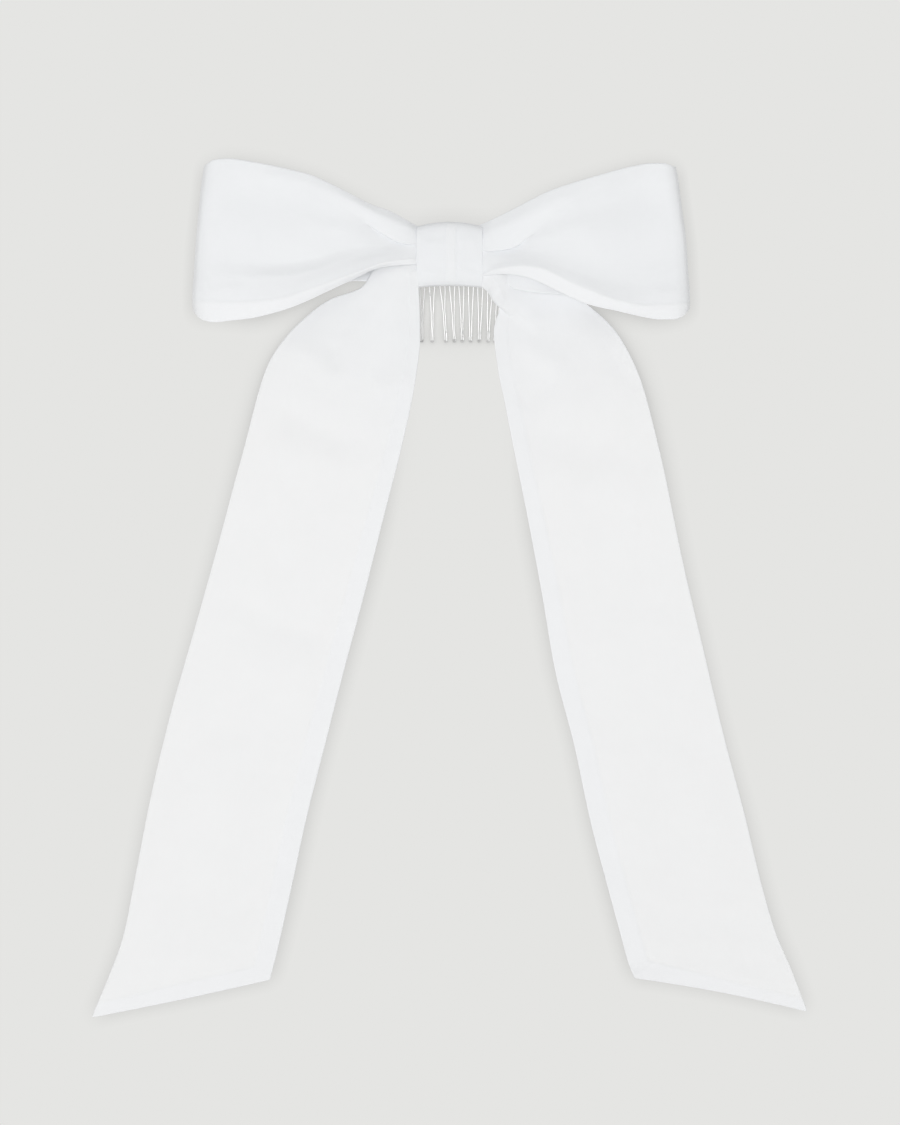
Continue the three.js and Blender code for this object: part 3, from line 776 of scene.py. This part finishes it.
def knot_section(angle, x, layer, rise=0.0):
    """(y, z) round the band: layer is 1 on the overlap, and rise lifts the place off the cloth's middle."""
    from_middle = (x / KNOT_HALF_WIDTH) ** 2
    c, s = rounded_square(angle, KNOT_SQUARENESS)
    top = KNOT_TOP - KNOT_TOP_DROP * from_middle
    bottom = KNOT_BOTTOM + KNOT_BOTTOM_DROP * from_middle
    height = np.where(s > 0, top, bottom) * (1 + LAP_TALLER * layer) + rise
    depth = KNOT_DEPTH + LAP_BEHIND * layer + rise
    return KNOT_MIDDLE_Y + depth * c, height * s


def make_knot_band():
    """A folded strip wrapped once round the gathers, its end lapped over its beginning at the back."""
    rows, columns = 220, 44
    once_round = BAND_START + 2 * math.pi
    angle = np.linspace(BAND_START, once_round + BAND_LAP, rows)[:, None]
    x = np.linspace(-KNOT_HALF_WIDTH, KNOT_HALF_WIDTH, columns)[None, :]
    from_middle = (x / KNOT_HALF_WIDTH) ** 2
    y, z = knot_section(angle, x, ease(once_round - 0.5, once_round + 0.05, angle))
    x = x * np.ones_like(y)
    seam_left, seam_right = KNOT_SEAM
    seam = ease(seam_left - 0.3, seam_left + 0.3, x) * ease(seam_right + 0.3, seam_right - 0.3, x)
    seam = seam * ease(0.2, -0.2, np.cos(angle))
    relief = ridges(x, z, KNOT_FOLDS) - KNOT_SEAM_RAISE * seam
    bow, recede = 0.5 * (from_middle - 0.3), 1.6 * ease(-3, -15, z)
    y = y + ease(0, -0.5, np.cos(angle)) * (relief + bow + recede)
    grid = np.stack([x, y, z], -1)
    run = np.linspace(0, BAND_RUN, rows)[:, None]
    cloth = np.stack(np.broadcast_arrays(x, run), -1)
    made = slab("knot_band_cloth", grid, grid_normals(grid), BAND_PLY, KNOT_FABRIC, cloth, seam)
    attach(made, "knot")
    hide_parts("knot_band")
    return made


def make_gathers(name, node, seed):
    """The bunched middle of a ribbon: deep pleats that draw in under the winding thread."""
    low, high = (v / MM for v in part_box(node))
    centre, half = (low + high) / 2, (high - low) / 2
    random = np.random.default_rng(seed)
    STATIONS, AROUND, REACH = 64, 150, 13.2
    t = np.linspace(-1, 1, STATIONS)[:, None]
    a = np.linspace(0, 2 * math.pi, AROUND, endpoint=False)[None, :]
    waist = np.exp(-((t * REACH / 3.6) ** 2))
    pleats = sum(
        random.uniform(0.5, 1) * np.cos(k * a + random.uniform(0, 6) + t * random.uniform(-0.5, 0.5))
        for k in (7, 11, 16, 23)
    )
    round_it = 1 - 0.05 * waist - 0.16 * (1 - 0.55 * waist) * (0.5 + pleats / 5.2)
    c, s = rounded_square(a, 2.8)
    y = centre.y + (half.y - 0.2 - 0.9 * waist) * round_it * c
    z = (half.z - 0.2 - 1.6 * waist) * round_it * s
    x = t * REACH * np.ones_like(a)
    rings = np.stack([x, y, z], -1)
    caps = []
    for ring, inwards in ((rings[0], 1), (rings[-1], -1)):
        middle = np.array([ring[0, 0] + 0.8 * inwards, centre.y, 0])
        caps.append(lerp(ring, middle, np.array([1, 0.5, 0.5])))
    all_rings = np.concatenate([[caps[0]], rings, [caps[1]]])
    count = len(all_rings) * AROUND
    index = np.arange(count).reshape(-1, AROUND)
    following = np.roll(index, -1, 1)
    faces = np.stack([index[:-1], index[1:], following[1:], following[:-1]], -1).reshape(-1, 4).tolist()
    faces += [index[0].tolist(), index[-1][::-1].tolist()]
    made = new_object(name, all_rings.reshape(-1, 3), faces, LOOP_FABRIC)
    run = np.tile(a[0] * 11, len(all_rings))
    add_attribute(made, "cloth", np.stack([run, all_rings[..., 0].ravel(), np.zeros(count)], -1))
    add_attribute(made, "seam", np.zeros(count))
    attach(made, "knot")
    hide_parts(node)


# ---- Threads ----

COMB_PITCH = 4.4
COMB_CENTRE = 3.1
COMB_TEETH = 12
FIRST_STITCH, STITCHES = 3, 6


def tooth_x(i):
    return COMB_CENTRE + COMB_PITCH * (i - (COMB_TEETH - 1) / 2)


def two_ply(name, path, strand, material):
    """A thread of two strands laid round each other along a path."""
    LAY = 1.5  # length of one turn of the strands
    ups, across = carried(path)[1:]
    strands = []
    for k in range(2):
        turn = (run_along(path) / LAY * 2 * math.pi + k * math.pi)[:, None]
        winding = path + strand * (ups * np.cos(turn) + across * np.sin(turn))
        strands.append(tube(f"{name}_{k}", winding, strand, material, 8))
    join = {"active_object": strands[0], "selected_editable_objects": strands}
    with bpy.context.temp_override(**join):
        bpy.ops.object.join()
    strands[0].name = name
    return strands[0]


def make_comb_stitch(k):
    INSIDE, LOOP, ARC = -4.35, 2.1, 9
    upper = [(INSIDE, 0.35), (INSIDE, 1.3), (INSIDE + 0.18, 1.85), (INSIDE + 0.7, LOOP), (-1.2, LOOP)]
    arc = [(LOOP * math.cos(a), LOOP * math.sin(a)) for a in np.linspace(math.pi / 2, -math.pi / 2, ARC)]
    lower = [(y, -z) for y, z in upper[::-1]]
    x = tooth_x(FIRST_STITCH - 1 + k) + COMB_PITCH / 2
    path = smooth_path([(x, y, z) for y, z in [*upper, *arc, *lower]], 6)
    made = two_ply(f"comb_lashing_{k + 1}", path, 0.125, THREAD)
    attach(made, "knot")
    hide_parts(f"comb_stitch_{k + 1}")


def make_winding():
    """The gathering thread, wound round the middle of both ribbons."""
    low, high = (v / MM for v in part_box("gathering_thread"))
    TURNS, RADIUS, SQUARENESS = 3, 0.3, 4.0
    a = np.linspace(0, TURNS * 2 * math.pi, 60 * TURNS)
    c, s = rounded_square(a, SQUARENESS)
    y = (low.y + high.y) / 2 + ((high.y - low.y) / 2 - RADIUS) * c
    z = ((high.z - low.z) / 2 - RADIUS) * s
    x = lerp(low.x + RADIUS, high.x - RADIUS, a / a[-1])
    made = two_ply("gathering_thread_winding", smooth_path(np.stack([x, y, z], -1), 3), 0.15, THREAD)
    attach(made, "knot")
    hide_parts("gathering_thread")


def make_closing_stitches(band):
    """Small slip stitches that hold the lap's end down, at the back of the band."""
    COUNT, SPREAD, SLANT = 9, 12.2, 0.5
    lap_end = BAND_START + 2 * math.pi + BAND_LAP
    # Each point's angle past the lap's end, its layer and how far it stands off the cloth's middle.
    over = [(-0.17, 1, -0.1), (-0.15, 1, 0.55), (-0.06, 1, 0.68)]
    route = [*over, (0.05, 0.6, 0.66), (0.14, 0, 0.55), (0.16, 0, -0.1)]
    for k in range(COUNT):
        x = lerp(-SPREAD, SPREAD, k / (COUNT - 1))
        points = []
        for n, (past, layer, rise) in enumerate(route):
            place = x + SLANT * (n / (len(route) - 1) - 0.5)
            points.append((place, *knot_section(lap_end + past, place, layer, rise)))
        made = tube(f"closing_stitch_{k + 1}", smooth_path(points, 5), 0.17, THREAD, 8)
        made.parent = band


# ---- Comb ----

SPINE_RADIUS, WIRE_RADIUS = 0.6, 0.325
TOOTH_LENGTH, TOOTH_CURVE = 38.7, 3.0
TOOTH_TOP, TOOTH_BOTTOM, PARALLEL = 1.15, 0.42, 13.0
# How far down each hairpin's legs come together.
LEGS_MEET = [27, 25, 25, 26, 24.5, 27, 30, 34, 33.5, 33, 31, 28]
# How far each tooth's tip leans sideways from its top: hand-bent wire is never quite even.
TOOTH_LEAN = [0.4, -0.2, -0.3, 0, 1.9, 1.3, 0.5, -0.2, -0.7, -1.0, -2.4, -1.2]


def make_tooth(i):
    """A hairpin of wire whose ends are coiled round the spine."""
    COIL_PITCH, COIL_TURNS, COIL_POINTS = 0.75, 0.95, 13
    radius = SPINE_RADIUS + WIRE_RADIUS + 0.1
    random = np.random.default_rng(40 + i)
    leg = []
    for turned in np.linspace(COIL_TURNS, 0, COIL_POINTS):
        angle = turned * 2 * math.pi
        leg.append((TOOTH_TOP + COIL_PITCH * turned, radius * math.cos(angle), radius * math.sin(angle)))
    turn_z = -TOOTH_LENGTH + TOOTH_BOTTOM + WIRE_RADIUS
    legs = [list(leg), list(leg)]
    meet = LEGS_MEET[i]
    sway = random.normal(0, 0.13, 6)
    twist_most = random.uniform(0.2, 0.9)
    upper = [-3, -8, -PARALLEL, -lerp(PARALLEL, meet, 0.35), -lerp(PARALLEL, meet, 0.7), -meet]
    for one, way in zip(legs, (1, -1)):
        wander = [0, 0, *random.normal(0, 0.08, 3), 0]
        for n, z in enumerate(upper):
            narrowed = np.clip((-z - PARALLEL) / (meet - PARALLEL), 0, 1)
            spread = lerp(TOOTH_TOP, TOOTH_BOTTOM, narrowed) + wander[n]
            one.append((spread, radius + TOOTH_CURVE * (z / TOOTH_LENGTH) ** 2, z))
        for n, z in enumerate(np.linspace(-meet, turn_z, 6)[1:]):
            amount = math.sin(math.pi * (n + 1) / 5)
            twist = twist_most * amount
            x = TOOTH_BOTTOM * math.cos(twist) + sway[n] * amount * way
            y = radius + TOOTH_CURVE * (z / TOOTH_LENGTH) ** 2 + TOOTH_BOTTOM * math.sin(twist) * way
            one.append((x, y, z))
    tip_y = radius + TOOTH_CURVE
    bend = np.linspace(0, math.pi, 7)[1:-1]
    tip = [(TOOTH_BOTTOM * math.cos(a), tip_y, turn_z - TOOTH_BOTTOM * math.sin(a)) for a in bend]
    other = [(-x, y, z) for x, y, z in legs[1][::-1]]
    points = np.array([*legs[0], *tip, *other])
    points[:, 0] += tooth_x(i) + TOOTH_LEAN[i] * (np.maximum(-points[:, 2], 0) / TOOTH_LENGTH) ** 1.5
    made = tube(f"comb_pin_{i + 1:02d}", smooth_path(points, 5), WIRE_RADIUS, WIRE)
    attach(made, "comb")
    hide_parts(f"comb_tooth_{i + 1:02d}")


def make_spine():
    low, high = (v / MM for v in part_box("comb_spine"))
    path = np.linspace([low.x + SPINE_RADIUS, 0, 0], [high.x - SPINE_RADIUS, 0, 0], 60)
    made = tube("comb_spine_wire", path, SPINE_RADIUS, WIRE, 24)
    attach(made, "comb")
    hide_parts("comb_spine")


# ---- Stage ----

BACKGROUND = (0.783, 0.783, 0.768)
STAGE_HALF = 4.0
FLOOR_Z = -1.3
WALL_Y, WALL_TOP = 0.40, 3.0
ROOM_LIGHT = 0.68
LAMP_SIZE, LAMP_POWER = (1.2, 0.6), 22.3
LAMP_AT, LAMP_TARGET = (-0.25, -2.4, -0.27), (0, 0, -0.1)
# The contact shade's columns and rows, as (from, to, how many): they are closer round the knot.
SHADE_SPANS = (
    [(-185, -45, 30), (-42, 48, 46), (51, 185, 30)],
    [(-370, -55, 40), (-50, 8, 30), (9, 16, 15), (18, 70, 16)],
)
# Its depth by height, where it keeps clear of the comb and the knot.
SHADE_BEHIND_COMB = [
    (-130, 0.8), (-48, 5.2), (-38, 5.2), (-27, 3.5), (-16, 2.5), (0, 1.9), (9, 0.6), (15, -2.2), (20, -3.3),
]


def stage_plane(name, corners, material):
    mesh = bpy.data.meshes.new(name)
    mesh.from_pydata(corners, [], [range(len(corners))])
    mesh.materials.append(material)
    made = bpy.data.objects.new(name, mesh)
    bpy.context.scene.collection.objects.link(made)


def make_floor():
    n = Nodes("pale_floor")
    n.surface({"Base Color": (0.93, 0.93, 0.925, 1), "Roughness": 0.9, "Specular IOR Level": 0.1})
    around = ((-1, -1), (1, -1), (1, 1), (-1, 1))
    stage_plane("floor", [(x * STAGE_HALF, y * STAGE_HALF, FLOOR_Z) for x, y in around], n.material)


def one_sided(n, shader):
    """Shows shader on the plane's front and nothing on its back, where the bow is seen through it."""
    clear = n.add("ShaderNodeBsdfTransparent").outputs[0]
    behind = n.add("ShaderNodeNewGeometry").outputs["Backfacing"]
    mixed = n.add("ShaderNodeMixShader", {0: behind, 1: shader, 2: clear}).outputs[0]
    n.tree.links.new(mixed, n.tree.nodes["Material Output"].inputs["Surface"])


def make_wall():
    n = Nodes("pale_wall")
    glow = n.add("ShaderNodeEmission", {"Color": (*BACKGROUND, 1), "Strength": 1.0}).outputs[0]
    one_sided(n, glow)
    around = ((-1, FLOOR_Z), (1, FLOOR_Z), (1, WALL_TOP), (-1, WALL_TOP))
    stage_plane("wall", [(x * STAGE_HALF, WALL_Y, z) for x, z in around], n.material)


def make_contact_shade():
    """A clear sheet close behind the bow that darkens where the bow is near: its soft contact shadow."""
    n = Nodes("contact_shade")
    REACH_M, DARKNESS = 0.0105, 0.55
    lean = n.add("ShaderNodeCombineXYZ", {0: -0.12, 1: -1.0, 2: 0.22}).outputs[0]
    facing = n.add("ShaderNodeVectorMath", {0: lean}, operation="NORMALIZE").outputs[0]
    inputs = {"Distance": REACH_M, "Normal": facing}
    near = n.add("ShaderNodeAmbientOcclusion", inputs, samples=16).outputs["AO"]
    strength = n.add("ShaderNodeAttribute", attribute_name="strength").outputs["Fac"]
    covered = n.math("MULTIPLY", n.math("SUBTRACT", 1.0, near), DARKNESS)
    level = n.math("SUBTRACT", 1.0, n.math("MULTIPLY", covered, strength))
    shade = n.add("ShaderNodeBsdfTransparent", {"Color": level}).outputs[0]
    one_sided(n, shade)
    columns, rows = (np.concatenate([np.linspace(*span) for span in spans]) for spans in SHADE_SPANS)
    x, z = np.meshgrid(columns, rows, indexing="ij")
    y = lerp(0.8, -3.6, ease(-125, -34, z))
    y = lerp(y, through(SHADE_BEHIND_COMB)(z), ease(38, 25, np.abs(x - 3)))
    index = np.arange(x.size).reshape(x.shape)
    quads = np.stack([index[:-1, :-1], index[1:, :-1], index[1:, 1:], index[:-1, 1:]], -1).reshape(-1, 4)
    made = new_object("contact_shade", np.stack([x, y, z], -1).reshape(-1, 3), quads.tolist(), n.material)
    above_knot = ease(8, 14, z) * ease(60, 20, np.abs(x))
    beside_knot = np.exp(-(((x + 36) / 16) ** 2) - ((z + 14) / 8) ** 2)
    over_comb = np.exp(-(((x - 1) / 18) ** 2) - ((z + 20) / 14) ** 2)
    # The shadow is fainter above and beside the knot and behind the comb.
    strength = 1 - 0.5 * above_knot - 0.4 * beside_knot - 0.35 * over_comb
    add_attribute(made, "strength", strength.ravel())


def make_light():
    world = bpy.data.worlds.new("studio")
    bpy.context.scene.world = world
    world.use_nodes = True
    background = world.node_tree.nodes["Background"]
    background.inputs["Color"].default_value = (*BACKGROUND, 1)
    background.inputs["Strength"].default_value = ROOM_LIGHT
    data = bpy.data.lights.new("softbox", "AREA")
    data.shape = "RECTANGLE"
    data.size, data.size_y = LAMP_SIZE
    data.energy = LAMP_POWER
    lamp = bpy.data.objects.new("softbox", data)
    bpy.context.scene.collection.objects.link(lamp)
    lamp.location = LAMP_AT
    lamp.rotation_euler = (Vector(LAMP_TARGET) - lamp.location).to_track_quat("-Z", "Y").to_euler()
    bpy.context.scene.view_settings.view_transform = "Standard"


# ---- Assembly ----

for side in SIDES:
    make_loop(side)
    make_tail(side)
band = make_knot_band()
make_closing_stitches(band)
make_gathers("gathered_loop_middle", "loop_centre", seed=3)
make_gathers("gathered_tail_middle", "tail_centre", seed=5)
make_winding()
for k in range(STITCHES):
    make_comb_stitch(k)
make_spine()
for i in range(COMB_TEETH):
    make_tooth(i)
make_floor()
make_wall()
make_contact_shade()
make_light()
